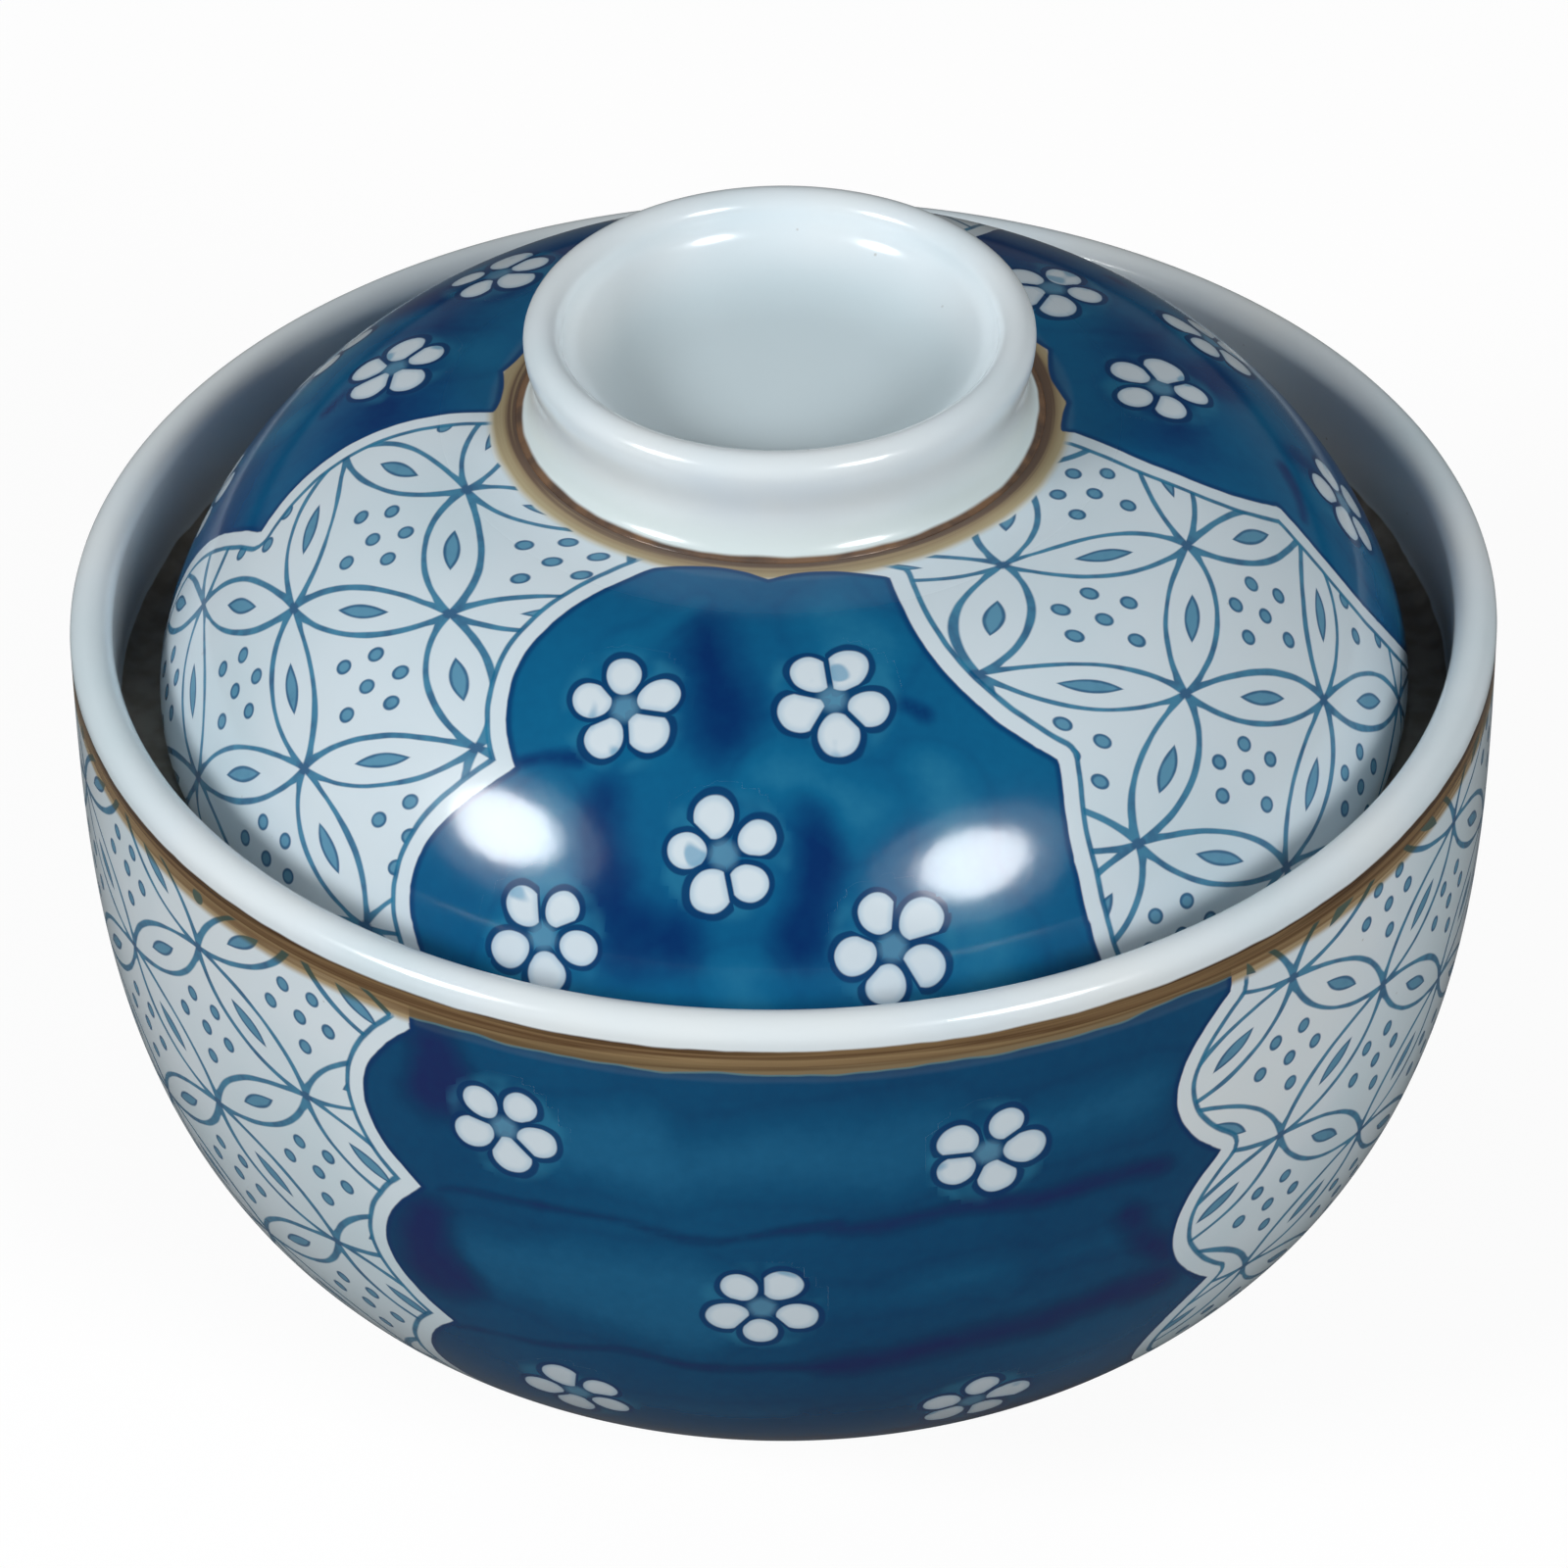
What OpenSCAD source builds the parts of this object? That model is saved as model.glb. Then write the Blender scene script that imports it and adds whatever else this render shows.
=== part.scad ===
// Lidded porcelain cup for steamed custard.
// A deep round cup stands on a turned foot ring. Its domed lid drops inside the rim, comes to rest
// on a narrow ledge, and is lifted by a hollow ring grip. Millimetres, +Z up, standing on z = 0.

/* [Cup] */
// Outside diameter of the rim
rim_d = 100; // [80:1:120]
// Height of the rim above the table
cup_h = 57; // [50:0.5:75]
// Thickness of the rounded lip
lip_t = 3; // [2:0.1:4.5]
// Fullness of the outside, higher is squarer
belly_power = 3.2; // [2:0.05:4.5]
// Thickness of the floor
floor_t = 4.6; // [3:0.1:8]
// Diameter of the flat part of the inside floor
floor_d = 36; // [20:1:44]
// Fullness of the inside, higher is squarer
cavity_power = 3.6; // [2.5:0.05:5]

/* [Foot ring] */
// Outside diameter at the standing edge
foot_d = 46; // [38:1:60]
// Height of the ring
foot_h = 5.1; // [3:0.1:9]
// Thickness of the ring at the standing edge
foot_t = 4; // [2.8:0.1:7]
// How far each side of the ring spreads towards the cup
foot_flare = 0.6; // [0.1:0.1:1.5]
// Rounding of the standing edge
foot_round = 0.9; // [0.4:0.1:1.2]

/* [Seat of the lid] */
// How far the ledge reaches in under the edge of the lid
seat_reach = 0.7; // [0.3:0.1:2]
// Rounding of the ledge's inner edge, which the lid rests on
seat_round = 1; // [0.5:0.1:2]
// Rounding between the ledge and the upright wall above it
ledge_round = 1.2; // [0.5:0.1:2]
// Play between the lid and its seat
seat_gap = 0.25; // [0.1:0.05:0.5]

/* [Lid] */
// Gap between the lip and the widest part of the lid
lid_gap = 3; // [1.5:0.1:5]
// Height of the lid's flat top above the rim
lid_rise = 14.5; // [8:0.5:24]
// Depth of the lid's lower edge below the rim
lid_sink = 9; // [7:0.1:14]
// Height of the upright edge below the dome
skirt_h = 2.5; // [2:0.1:5]
// Thickness of the lid at its top
lid_t = 3.6; // [2.5:0.1:5]
// Thickness of the lid at its edge
edge_t = 3.2; // [2:0.1:4]
// Fullness of the dome towards its edge
shoulder_power = 2.3; // [1.8:0.05:3.5]
// Fullness of the dome towards its top
crown_power = 1.45; // [1:0.05:2.5]

/* [Ring grip] */
// Outside diameter of the grip at its lip
grip_d = 35.2; // [26:0.2:44]
// Height of the grip above the dome
grip_h = 7.6; // [6.5:0.1:12]
// Thickness of the grip's rounded lip
grip_lip_t = 2.6; // [1.8:0.1:4]
// How far the grip draws in below its lip
grip_waist = 0.6; // [0.2:0.1:1.5]
// Height of the narrowest place above the dome
waist_h = 2.6; // [1.5:0.1:3.5]
// How far the foot of the grip spreads past its lip
grip_spread = 0.5; // [0:0.1:1.5]
// Depth of the dish inside the grip
dish_depth = 5.2; // [3:0.1:5.8]
// Diameter of the flat floor of the dish
dish_floor_d = 16; // [6:1:20]

/* [Hidden] */

// Points along each rounded corner and each long curve, and sides of a turned form on screen
corner_steps = 8;
curve_steps = 28;
$fn = 96;
// Points of a profile closer than this count as one
same_point = 0.001;
// Upright edge left where the grip's cove runs out, and flat rim of the dome around the grip
cove_edge = 0.4;
grip_margin = 0.3;

// Cup: radii, and the level of the centre of the lip's rounding
rim_r = rim_d / 2;
lip_r = lip_t / 2;
lip_z = cup_h - lip_r;
root_r = foot_d / 2 + foot_flare;
floor_z = foot_h + floor_t;

// Lid: edge, shoulder and flat top
lid_r = rim_r - lip_t - lid_gap;
edge_r = edge_t / 2;
edge_z = cup_h - lid_sink + edge_r;
shoulder_z = cup_h - lid_sink + skirt_h;
land_z = cup_h + lid_rise;

// Grip: radii and levels
grip_r = grip_d / 2;
grip_lip_r = grip_lip_t / 2;
grip_lip_z = land_z + grip_h - grip_lip_r;
spread_r = grip_r + grip_spread;
waist_r = grip_r - grip_waist;
waist_z = land_z + waist_h;
land_r = spread_r + grip_margin;

// Seat: the lid's rounded edge lies, with its play, in the rounded mouth of a ledge
wall_r = rim_r - lip_t;
seat_r = lid_r - seat_reach;
seat_run = seat_r + seat_round - (lid_r - edge_r);
seat_span = edge_r + seat_round + seat_gap;
seat_z = edge_z - sqrt(seat_span * seat_span - seat_run * seat_run);
ledge_z = seat_z + seat_round;

// Points of a circle's arc between two angles
function arc(centre, radius, from, to) =
    [for (i = [0 : corner_steps])
        let (a = from + (to - from) * i / corner_steps)
        centre + radius * [cos(a), sin(a)]];

// Quarter of a superellipse, from corner + [reach_r, 0] round to corner + [0, reach_z]
function quarter(corner, reach, power_r, power_z) =
    [for (i = [0 : curve_steps])
        let (a = 90 * i / curve_steps)
        corner + [reach[0] * pow(cos(a), 2 / power_r), reach[1] * pow(sin(a), 2 / power_z)]];

// Soft step between two points, upright at both ends
function soft_step(from, to) =
    [for (i = [0 : corner_steps])
        let (t = i / corner_steps)
        [from[0] + (to[0] - from[0]) * (1 - cos(180 * t)) / 2, from[1] + (to[1] - from[1]) * t]];

function reversed(points) = [for (i = [len(points) - 1 : -1 : 0]) points[i]];

// Drops points that repeat the one before them
function distinct(points) =
    [for (i = [0 : len(points) - 1])
        if (i == 0 || norm(points[i] - points[max(i - 1, 0)]) > same_point) points[i]];

// A form turned on the wheel, from its profile of [radius, height] points
module turned(profile) {
    rotate_extrude()
        polygon(distinct(profile));
}

// Deep cup: outside, lip, upright inner wall, ledge, cavity and the flat underside above the foot ring
module cup_body() {
    outside = quarter([root_r, lip_z], [rim_r - root_r, foot_h - lip_z], 2, belly_power);
    lip = arc([rim_r - lip_r, lip_z], lip_r, 0, 180);
    ledge = arc([wall_r - ledge_round, ledge_z + ledge_round], ledge_round, 0, -90);
    seat = arc([seat_r + seat_round, seat_z], seat_round, 90, 180);
    cavity = quarter([floor_d / 2, seat_z], [seat_r - floor_d / 2, floor_z - seat_z], 2, cavity_power);
    color("steelblue")
        turned(concat([[0, foot_h]], reversed(outside), lip, ledge, seat, cavity, [[0, floor_z]]));
}

// Ring that the cup stands on, flat at the table, with rounded standing edges
module foot_ring() {
    outer_r = foot_d / 2;
    inner_r = outer_r - foot_t;
    outer_edge = arc([outer_r - foot_round, foot_round], foot_round, -90, 0);
    inner_edge = arc([inner_r + foot_round, foot_round], foot_round, 180, 270);
    top = [[root_r, foot_h], [inner_r - foot_flare, foot_h]];
    color("whitesmoke")
        turned(concat(outer_edge, top, inner_edge));
}

// Thin dome with an upright rounded edge that hangs inside the cup's rim
module lid_dome() {
    inner_land_r = land_r - lid_t;
    outside = quarter([land_r, shoulder_z], [lid_r - land_r, land_z - shoulder_z],
        shoulder_power, crown_power);
    inside = quarter([inner_land_r, shoulder_z],
        [lid_r - edge_t - inner_land_r, land_z - lid_t - shoulder_z],
        shoulder_power, crown_power);
    edge = arc([lid_r - edge_r, edge_z], edge_r, 180, 360);
    color("steelblue")
        turned(concat([[0, land_z - lid_t]], reversed(inside), edge, outside, [[0, land_z]]));
}

// Ring grip with a rounded lip, a drawn-in waist, a spreading foot and a shallow dish inside
module ring_grip() {
    cove = quarter([spread_r, waist_z], [waist_r - spread_r, land_z + cove_edge - waist_z], 2, 2);
    side = soft_step([waist_r, waist_z], [grip_r, grip_lip_z]);
    lip = arc([grip_r - grip_lip_r, grip_lip_z], grip_lip_r, 0, 180);
    dish_floor_z = land_z + grip_h - dish_depth;
    dish = quarter([dish_floor_d / 2, grip_lip_z],
        [grip_r - grip_lip_t - dish_floor_d / 2, dish_floor_z - grip_lip_z], 2, 2);
    color("whitesmoke")
        turned(concat([[0, land_z], [spread_r, land_z]], reversed(cove), side, lip, dish,
            [[0, dish_floor_z]]));
}

cup_body();
foot_ring();
lid_dome();
ring_grip();
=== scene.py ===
# %% [markdown]
# # A lidded porcelain cup, thrown and painted
# The real object is a small deep cup for steamed custard, with a domed lid that drops inside its rim.
# Both are white porcelain, painted in cobalt blue and iron brown under a clear glossy glaze. The packed
# model is loaded first and stays as it is: it says which pieces there are, where they sit and how the
# lid moves. Everything below is made in that frame, in metres, so nothing has to be fitted afterwards.

import math

import bpy
import numpy as np
from mathutils import Matrix, Vector
from mathutils.kdtree import KDTree


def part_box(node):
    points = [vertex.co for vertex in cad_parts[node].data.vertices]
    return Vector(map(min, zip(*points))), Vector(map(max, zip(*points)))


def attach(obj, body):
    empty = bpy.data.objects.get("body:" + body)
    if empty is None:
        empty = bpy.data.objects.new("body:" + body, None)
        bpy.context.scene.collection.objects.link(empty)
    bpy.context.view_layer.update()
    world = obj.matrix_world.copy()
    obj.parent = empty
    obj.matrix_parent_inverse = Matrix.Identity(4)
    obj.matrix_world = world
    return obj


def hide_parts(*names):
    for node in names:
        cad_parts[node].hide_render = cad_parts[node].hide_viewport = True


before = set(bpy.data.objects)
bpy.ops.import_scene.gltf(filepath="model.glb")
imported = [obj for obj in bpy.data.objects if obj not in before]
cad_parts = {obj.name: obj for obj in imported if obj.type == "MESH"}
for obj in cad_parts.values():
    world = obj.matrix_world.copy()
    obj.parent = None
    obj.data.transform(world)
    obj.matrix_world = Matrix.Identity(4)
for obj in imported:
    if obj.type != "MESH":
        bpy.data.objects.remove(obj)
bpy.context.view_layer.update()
MM = 0.001
show = bpy.context.scene.collection.objects.link
print("nodes:", sorted(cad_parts))

# %% [markdown]
# ## Half sections
# A potter turns each form, so one half section holds the whole shape. It could be drawn by hand as a
# curve, but then it would drift away from the solid model. Here the main radii and heights are read
# from the frame, the fine ones repeat the solid model's values, and the curves come from the same two
# rules: a circle's arc for each rounding and a quarter of a superellipse for each belly.


# %% Main radii and heights, in millimetres
def heights_and_radius(node):
    low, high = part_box(node)
    return round(low.z / MM, 2), round(high.z / MM, 2), round(high.x / MM, 2)


foot_h, rim_z, rim_r = heights_and_radius("cup_body")
_, _, root_r = heights_and_radius("foot_ring")
lid_low, land_z, lid_r = heights_and_radius("lid_dome")
_, grip_top, spread_r = heights_and_radius("ring_grip")
print("cup", rim_r, rim_z, "foot", root_r, foot_h)
print("lid", lid_r, lid_low, land_z, "grip", spread_r, grip_top)


# %% Curves of a half section
SAME_POINT = 1e-4
FLAT_STEP = 2.4


def arc(centre, radius, start, end, steps=40):
    angles = np.radians(np.linspace(start, end, steps + 1))
    return np.column_stack((centre[0] + radius * np.cos(angles), centre[1] + radius * np.sin(angles)))


def quarter(corner, reach, power_r, power_z, steps=600):
    angles = np.radians(np.linspace(0, 90, steps + 1))
    across = np.clip(np.cos(angles), 0, 1) ** (2 / power_r)
    upward = np.clip(np.sin(angles), 0, 1) ** (2 / power_z)
    return np.column_stack((corner[0] + reach[0] * across, corner[1] + reach[1] * upward))


def run_length(points):
    steps = np.hypot(*np.diff(points, axis=0).T)
    return np.concatenate(([0.0], np.cumsum(steps)))


def evenly(points, spacing):
    points = np.asarray(points, float)
    run = run_length(points)
    places = np.linspace(0, run[-1], max(2, round(run[-1] / spacing) + 1))
    return np.column_stack([np.interp(places, run, column) for column in points.T])


def half_section(*stretches):
    points = np.concatenate([evenly(points, spacing) for points, spacing in stretches])
    moved = np.hypot(*np.diff(points, axis=0).T) > SAME_POINT
    return points[np.concatenate(([True], moved))]


def measured_from(section, start):
    run = run_length(section)
    nearest = np.argmin(np.hypot(*(section - np.asarray(start)).T))
    return run[nearest] - run


print("a quarter with powers 2 and 2 is a circle:", quarter((0, 0), (1, 1), 2, 2)[300].round(3))

# %% [markdown]
# ## The deep cup
# The cup's outside swells from a narrow foot to an almost upright wall and ends in a round lip. Inside
# the lip the wall drops upright to a narrow ledge, and the lid's round edge comes to rest in the ledge's
# rounded mouth, a quarter of a millimetre short of touching. The points lie half a millimetre apart where
# the wall is painted, because the painting is tied to them later, and further apart inside. Each point
# also gets its distance down the wall from the lip, called along, which is what a painter would measure
# with a strip of paper.

# %% Half section of the cup
lip_r = 1.5
lip_z = rim_z - lip_r
belly_power = 3.2
cavity_power = 3.6
floor_r = 18.0
floor_t = 4.6
floor_z = foot_h + floor_t
edge_r = 1.6
edge_z = lid_low + edge_r
seat_gap = 0.25
seat_round = 1.0
ledge_round = 1.2
seat_reach = 0.7
seat_r = lid_r - seat_reach
wall_r = rim_r - 2 * lip_r

seat_run = seat_r + seat_round - (lid_r - edge_r)
seat_z = edge_z - math.sqrt((edge_r + seat_round + seat_gap) ** 2 - seat_run**2)
ledge_z = seat_z + seat_round
wall_foot_z = ledge_z + ledge_round

cup_wall = quarter((root_r, lip_z), (rim_r - root_r, foot_h - lip_z), 2, belly_power)[::-1]
cup_lip = arc((rim_r - lip_r, lip_z), lip_r, 0, 180)
cup_ledge = arc((wall_r - ledge_round, wall_foot_z), ledge_round, 0, -90)
cup_seat = arc((seat_r + seat_round, seat_z), seat_round, 90, 180)
cup_cavity = quarter((floor_r, seat_z), (seat_r - floor_r, floor_z - seat_z), 2, cavity_power)
cup_section = half_section(
    ([(0, foot_h), (root_r, foot_h)], FLAT_STEP),
    (cup_wall, 0.5),
    (cup_lip, 0.3),
    ([(wall_r, lip_z), (wall_r, wall_foot_z)], 0.9),
    (cup_ledge, 0.3),
    (cup_seat, 0.3),
    (cup_cavity, 1.4),
    ([(floor_r, floor_z), (0, floor_z)], FLAT_STEP),
)
cup_along = measured_from(cup_section, (rim_r, lip_z))
print("cup points:", len(cup_section), "wall in mm:", round(run_length(cup_wall)[-1], 1))

# %% [markdown]
# ## The foot ring
# The cup stands on a ring that is turned out of the same clay. Its standing edges are rounded, and the
# glaze gathers in a small hollow where the ring meets the cup, so the outside ends in a soft curve that
# three points bend.

# %% Half section of the foot ring
foot_r = 23.0
foot_t = 4.0
foot_inner_r = foot_r - foot_t
foot_round = 0.9
foot_flare = 0.6
glaze_fillet = 0.9

foot_bend = np.linspace(0, 1, 20)[:, None]
bend_low = np.array((foot_r + 0.35, foot_h - 1.3))
bend_mid = np.array((root_r - 0.1, foot_h - 0.02))
bend_high = np.array((root_r + glaze_fillet, foot_h + 0.018))
foot_hollow = (1 - foot_bend) ** 2 * bend_low + 2 * foot_bend * (1 - foot_bend) * bend_mid
foot_hollow = foot_hollow + foot_bend**2 * bend_high
foot_section = half_section(
    (arc((foot_r - foot_round, foot_round), foot_round, -90, 0), 0.2),
    ([(foot_r, foot_round), bend_low], 0.6),
    (foot_hollow, 0.25),
    ([bend_high, (foot_inner_r - foot_flare, foot_h)], 1.2),
    ([(foot_inner_r - foot_flare, foot_h), (foot_inner_r, foot_round)], 0.7),
    (arc((foot_inner_r + foot_round, foot_round), foot_round, 180, 270), 0.2),
    ([(foot_inner_r + foot_round, 0), (foot_r - foot_round, 0)], 0.6),
)
foot_along = foot_section[:, 1]
print("foot points:", len(foot_section))

# %% [markdown]
# ## The lid and its grip
# The lid is a thin dome with an upright edge, open below. On top sits a ring grip: a short collar with a
# drawn-in waist, a round lip and a shallow dish inside, so that the lid can also stand upside down as a
# small plate. The glaze gathers round the foot of the grip and closes the fine step that the solid model
# has there. The distance along the lid starts where the grip meets the dome.

# %% Half section of the lid
lid_t = 3.6
edge_t = 2 * edge_r
skirt_h = 2.5
grip_margin = 0.3
shoulder_z = lid_low + skirt_h
land_r = spread_r + grip_margin
shoulder_power = 2.3
crown_power = 1.45
inner_land_r = land_r - lid_t

lid_outside = quarter(
    (land_r, shoulder_z), (lid_r - land_r, land_z - shoulder_z), shoulder_power, crown_power
)
lid_inside = quarter(
    (inner_land_r, shoulder_z),
    (lid_r - edge_t - inner_land_r, land_z - lid_t - shoulder_z),
    shoulder_power,
    crown_power,
)
lid_section = half_section(
    ([(0, land_z - lid_t), (inner_land_r, land_z - lid_t)], FLAT_STEP),
    (lid_inside[::-1], 1.2),
    ([(lid_r - edge_t, shoulder_z), (lid_r - edge_t, edge_z)], 0.5),
    (arc((lid_r - edge_r, edge_z), edge_r, 180, 360), 0.3),
    ([(lid_r, edge_z), (lid_r, shoulder_z)], 0.45),
    (lid_outside, 0.4),
    ([(land_r, land_z), (0, land_z)], FLAT_STEP),
)
lid_along = measured_from(lid_section, (land_r, land_z))
print("lid points:", len(lid_section))

# %% Half section of the grip
grip_spread = 0.5
grip_waist = 0.6
waist_h = 2.6
dish_depth = 5.2
glaze_gather = 0.2
grip_r = spread_r - grip_spread
waist_r = grip_r - grip_waist
waist_z = land_z + waist_h
grip_lip_r = 1.3
grip_lip_z = grip_top - grip_lip_r
dish_floor_r = 8.0
dish_floor_z = grip_top - dish_depth
cove_r = spread_r + glaze_gather
grip_cove = quarter((cove_r, waist_z), (waist_r - cove_r, land_z - waist_z), 2, 2)[::-1]
side_step = np.linspace(0, 1, 40)
grip_side = np.column_stack(
    (
        waist_r + (grip_r - waist_r) * (1 - np.cos(np.pi * side_step)) / 2,
        waist_z + (grip_lip_z - waist_z) * side_step,
    )
)
grip_dish = quarter(
    (dish_floor_r, grip_lip_z),
    (grip_r - 2 * grip_lip_r - dish_floor_r, dish_floor_z - grip_lip_z),
    2,
    2,
)
grip_section = half_section(
    ([(0, land_z), (cove_r, land_z)], FLAT_STEP),
    (grip_cove, 0.2),
    (grip_side, 0.35),
    (arc((grip_r - grip_lip_r, grip_lip_z), grip_lip_r, 0, 180), 0.25),
    (grip_dish, 0.45),
    ([(dish_floor_r, dish_floor_z), (0, dish_floor_z)], 1.2),
)
grip_along = -measured_from(grip_section, (cove_r, land_z))
print("grip points:", len(grip_section))

# %% [markdown]
# ## Node sums written as sums
# Both the forms and the painting below are worked out by nodes. Adding every Math node by hand would
# hide the idea behind the wiring, so one small class wraps a socket: plus, minus, times and divide on
# it add the nodes, and its method node() adds any other kind from its settings and its inputs.


# %% The brush that writes nodes
class Brush:
    def __init__(self, tree, socket=None):
        self.tree = tree
        self.socket = socket

    def node(self, kind, settings=None, values=None, out=0):
        made = self.tree.nodes.new(kind)
        for name, value in (settings or {}).items():
            if name == "stops":
                set_stops(made.color_ramp.elements, value)
            else:
                setattr(made, name, value)
        for name, value in (values or {}).items():
            if isinstance(value, Brush):
                self.tree.links.new(value.socket, made.inputs[name])
            else:
                made.inputs[name].default_value = value
        return None if out is None else Brush(self.tree, made.outputs[out])

    def other(self, out):
        return Brush(self.tree, self.socket.node.outputs[out])

    def math(self, operation, *more):
        values = dict(enumerate((self, *more)))
        return self.node("ShaderNodeMath", {"operation": operation}, values)

    def __add__(self, more):
        return self.math("ADD", more)

    def __sub__(self, less):
        return self.math("SUBTRACT", less)

    def __rsub__(self, whole):
        return self.node("ShaderNodeMath", {"operation": "SUBTRACT"}, {0: whole, 1: self})

    def __mul__(self, factor):
        return self.math("MULTIPLY", factor)

    def __truediv__(self, parts):
        return self.math("DIVIDE", parts)

    def __rtruediv__(self, whole):
        return self.node("ShaderNodeMath", {"operation": "DIVIDE"}, {0: whole, 1: self})

    def __abs__(self):
        return self.math("ABSOLUTE")

    __radd__ = __add__
    __rmul__ = __mul__

    def least(self, other):
        return self.math("MINIMUM", other)

    def most(self, other):
        return self.math("MAXIMUM", other)

    def root(self):
        return self.math("SQRT")

    def rise(self, low, high):
        values = {"Value": self, "From Min": low, "From Max": high}
        return self.node("ShaderNodeMapRange", {"interpolation_type": "SMOOTHSTEP"}, values)

    def split(self):
        first = self.node("ShaderNodeSeparateXYZ", values={0: self})
        return first, first.other(1), first.other(2)


def set_stops(elements, stops):
    for element, (position, colour) in zip((elements[0], elements[-1]), (stops[0], stops[-1])):
        element.position = position
        element.color = colour
    for position, colour in stops[1:-1]:
        elements.new(position).color = colour


def reach(across, upward):
    return (across * across + upward * upward).root()


print("brush ready:", [name for name in vars(Brush) if not name.startswith("_")])

# %% [markdown]
# ## The wheel
# Blender's Screw modifier could turn a half section, but a tree of geometry nodes can also keep the
# distance along the wall on every point and give the clay the slight unevenness of a thrown form. The
# tree lays a flat grid, one row for each point of the half section and one column for each step of the
# turn, and then moves each grid point to its place on the turned form. The unevenness only ever draws
# the wall inwards, by a few hundredths of a millimetre, so the piece stays inside the solid model.


# %% Geometry nodes of the wheel
TURN_STEPS = 384
SWELLS_UPWARD = 18
SWELL_SCALE = 1.1
WELD = 1e-6


def wheel_tree():
    tree = bpy.data.node_groups.new("wheel", "GeometryNodeTree")
    sockets = {}
    for name, kind in (
        ("Half section", "NodeSocketGeometry"),
        ("Steps of the turn", "NodeSocketInt"),
        ("Unevenness", "NodeSocketFloat"),
        ("Seed", "NodeSocketFloat"),
        ("Glaze", "NodeSocketMaterial"),
    ):
        sockets[name] = tree.interface.new_socket(name=name, in_out="INPUT", socket_type=kind).identifier
    tree.interface.new_socket(name="Form", in_out="OUTPUT", socket_type="NodeSocketGeometry")
    clay = Brush(tree).node("NodeGroupInput", out="Half section")
    steps = clay.other("Steps of the turn")
    rows = clay.node(
        "GeometryNodeAttributeDomainSize", {"component": "MESH"}, {"Geometry": clay}, "Point Count"
    )
    counts = {"Vertices X": steps + 1, "Vertices Y": rows}
    sheet = clay.node("GeometryNodeMeshGrid", values=counts, out="Mesh")
    index = clay.node("GeometryNodeInputIndex")
    row = index.math("MODULO", rows)
    turn = (index - row) / rows * (2 * math.pi) / steps
    pick = {"data_type": "FLOAT_VECTOR", "domain": "POINT"}
    here = clay.node("GeometryNodeInputPosition")
    point = clay.node("GeometryNodeSampleIndex", pick, {"Geometry": clay, "Value": here, "Index": row})
    radius, _, height = point.split()
    pick_length = {"data_type": "FLOAT", "domain": "POINT"}
    written = clay.node("GeometryNodeInputNamedAttribute", {"data_type": "FLOAT"}, {"Name": "along"})
    along = clay.node(
        "GeometryNodeSampleIndex", pick_length, {"Geometry": clay, "Value": written, "Index": row}
    )
    across = turn.math("COSINE")
    deep = turn.math("SINE")
    ring = clay.node("ShaderNodeCombineXYZ", values={0: across, 1: deep, 2: height * SWELLS_UPWARD})
    swell = clay.node(
        "ShaderNodeTexNoise",
        {"noise_dimensions": "4D"},
        {"Vector": ring, "W": clay.other("Seed"), "Scale": SWELL_SCALE, "Detail": 1.0},
    )
    drawn = radius * (1 - swell * clay.other("Unevenness"))
    place = clay.node("ShaderNodeCombineXYZ", values={0: drawn * across, 1: drawn * deep, 2: height})
    form = clay.node("GeometryNodeSetPosition", values={"Geometry": sheet, "Position": place})
    form = clay.node(
        "GeometryNodeStoreNamedAttribute",
        {"data_type": "FLOAT", "domain": "POINT"},
        {"Geometry": form, "Name": "along", "Value": along},
    )
    form = clay.node("GeometryNodeMergeByDistance", values={"Geometry": form, "Distance": WELD})
    form = clay.node("GeometryNodeSetShadeSmooth", values={"Geometry": form})
    form = clay.node("GeometryNodeRealizeInstances", values={"Geometry": form})
    form = clay.node(
        "GeometryNodeSetMaterial", values={"Geometry": form, "Material": clay.other("Glaze")}
    )
    clay.node("NodeGroupOutput", None, {"Form": form}, None)
    return tree, sockets


wheel, wheel_inputs = wheel_tree()
print("wheel inputs:", list(wheel_inputs))

# %% [markdown]
# ## Laying out the painting
# The wall carries three cloud-shaped blue panels with plum blossoms, and between them white panels with a
# net of overlapping circles. A flat picture wrapped round the form would stretch where the dome
# narrows, so the layout is measured on the form itself: an angle round it, and the length down its wall.
# Each point of the mesh then carries a few numbers, such as its distance from a cloud's edge, and the
# glaze draws crisp lines from them at any resolution. A stroke of the wash is given by the angle and the
# length where it starts and where it ends, its width and its strength. It is weaker at its start and
# sways by about half a millimetre, as a hand does.


# %% Measuring on the wall
SWAY = 0.5
WEAKER_START = 0.3
UNWASHED = -1.0


def on_wall(section, along, lengths):
    order = np.argsort(along)
    radii = np.interp(lengths, along[order], section[order, 0])
    heights = np.interp(lengths, along[order], section[order, 1])
    return radii, heights


def turned_by(angles, start):
    return (angles - start + 180) % 360 - 180


def cloud_edge(lengths, cusps, bulges):
    places, angles = np.array(cusps, float).T
    lobe = np.clip(np.searchsorted(places, lengths, side="right") - 1, 0, len(bulges) - 1)
    across = 2 * (lengths - places[lobe]) / (places[lobe + 1] - places[lobe]) - 1
    bulge = np.array(bulges, float)[lobe] * np.clip(1 - across**2, 0, 1)
    return np.interp(lengths, places, angles) - bulge


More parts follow.
